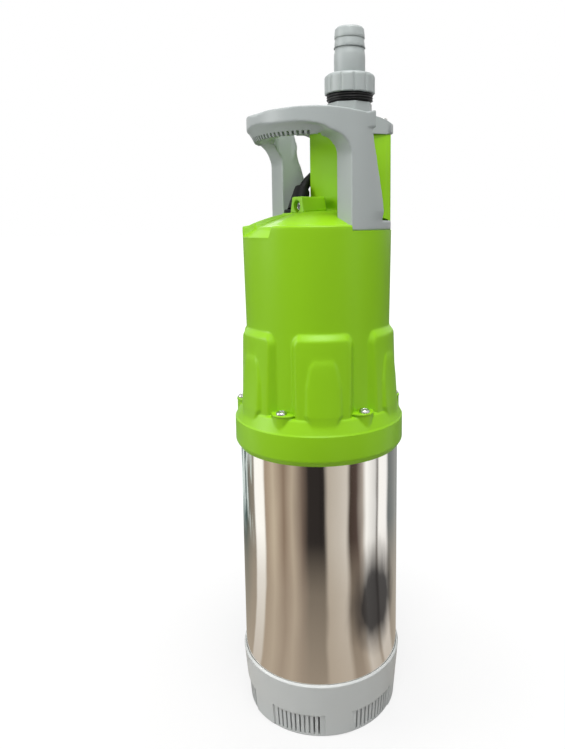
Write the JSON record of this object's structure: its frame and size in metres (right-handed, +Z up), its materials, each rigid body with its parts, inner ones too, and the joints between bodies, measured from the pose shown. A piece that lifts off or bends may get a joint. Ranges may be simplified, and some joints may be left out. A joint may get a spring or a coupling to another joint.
{
  "type": "submersible pump",
  "caption": "Tall multistage submersible pump with slotted foot, steel tube, moulded top, carrying handle and a hose tail on a union, with its cable coiled behind.",
  "frame": {"origin": "centre of the foot, on the surface that the pump stands on", "axes": "+Z up along the shaft, -Y towards the cable clamp and the grip, +Y towards the outlet"},
  "size_m": [0.3115, 0.2635, 0.638],
  "materials": {
    "grey_plastic": "fine satin moulding",
    "green_plastic": "satin moulding",
    "polished_steel": "mirror polished stainless",
    "screw_steel": "zinc plated",
    "shaft_steel": "ground",
    "black_plastic": "satin",
    "black_rubber": "matt",
    "cable_rubber": "matt",
    "tie_plastic": "plain",
    "stage_plastic": "glass filled",
    "bracket_aluminium": "cast",
    "core_steel": "stacked sheets",
    "copper": "varnished wire",
    "seal_carbon": "lapped",
    "capacitor_case": "plain"
  },
  "bodies": {
    "root": {"base_strainer": "grey_plastic", "outer_tube": "polished_steel", "upper_shell": "green_plastic", "flange_screws": "screw_steel", "clamp_screw": "screw_steel", "handle": "grey_plastic", "handle_screws": "screw_steel", "outlet_spigot": "grey_plastic", "outlet_adapter": "black_plastic", "bend_protector": "black_rubber", "suction_plate": "stage_plastic", "lower_tube_seal": "black_rubber", "clamp_ring": "stage_plastic", "upper_tube_seal": "black_rubber", "tie_rods": "screw_steel", "seal_seat": "seal_carbon", "lower_bearing": "shaft_steel", "upper_bearing": "shaft_steel", "lower_bearing_bracket": "bracket_aluminium", "upper_bearing_bracket": "bracket_aluminium", "motor_can": "shaft_steel", "stator_core": "core_steel", "stator_winding": "copper", "capacitor": "capacitor_case", "terminal_block": "black_plastic", "can_lid": "stage_plastic", "cable_gland": "black_plastic", "inner_lead": "cable_rubber", "valve_guide": "black_plastic", "valve_spring": "screw_steel", "union_gasket": "black_rubber", "outlet_washer": "black_rubber", "base_screws": "screw_steel", "stage_bowl_1": "stage_plastic", "stage_bowl_2": "stage_plastic", "stage_bowl_3": "stage_plastic", "stage_bowl_4": "stage_plastic", "power_cable": "cable_rubber", "cable_coil": "cable_rubber", "cable_tail": "cable_rubber", "coil_tie": "tie_plastic", "plug_body": "cable_rubber", "plug_pins": "screw_steel"},
    "rotor": {"pump_shaft": "shaft_steel", "rotor_core": "core_steel", "impeller_spacers": "stage_plastic", "impeller_nut": "screw_steel", "seal_head": "seal_carbon", "impeller_1": "stage_plastic", "impeller_2": "stage_plastic", "impeller_3": "stage_plastic", "impeller_4": "stage_plastic"},
    "union_nut": {"union_nut": "grey_plastic"},
    "hose_tail": {"hose_tail": "grey_plastic"},
    "valve": {"valve_disc": "black_plastic", "valve_seal": "black_rubber"}
  },
  "joints": [
    {"name": "rotor_spin", "type": "hinge", "parent": "root", "child": "rotor", "pos_m": [0, 0, 0.2], "axis": [0, 0, 1], "continuous": true},
    {"name": "nut_turn", "type": "hinge", "parent": "root", "child": "union_nut", "pos_m": [0, 0.038, 0.588], "axis": [0, 0, 1], "continuous": true},
    {"name": "tail_swivel", "type": "hinge", "parent": "root", "child": "hose_tail", "pos_m": [0, 0.038, 0.61], "axis": [0, 0, 1], "continuous": true},
    {"name": "valve_lift", "type": "slide", "parent": "root", "child": "valve", "axis": [0, 0, 1], "range_m": [0, 0.007], "stiffness_N_per_m": 60, "springref_m": -0.01, "deforming": ["valve_spring"]}
  ]
}
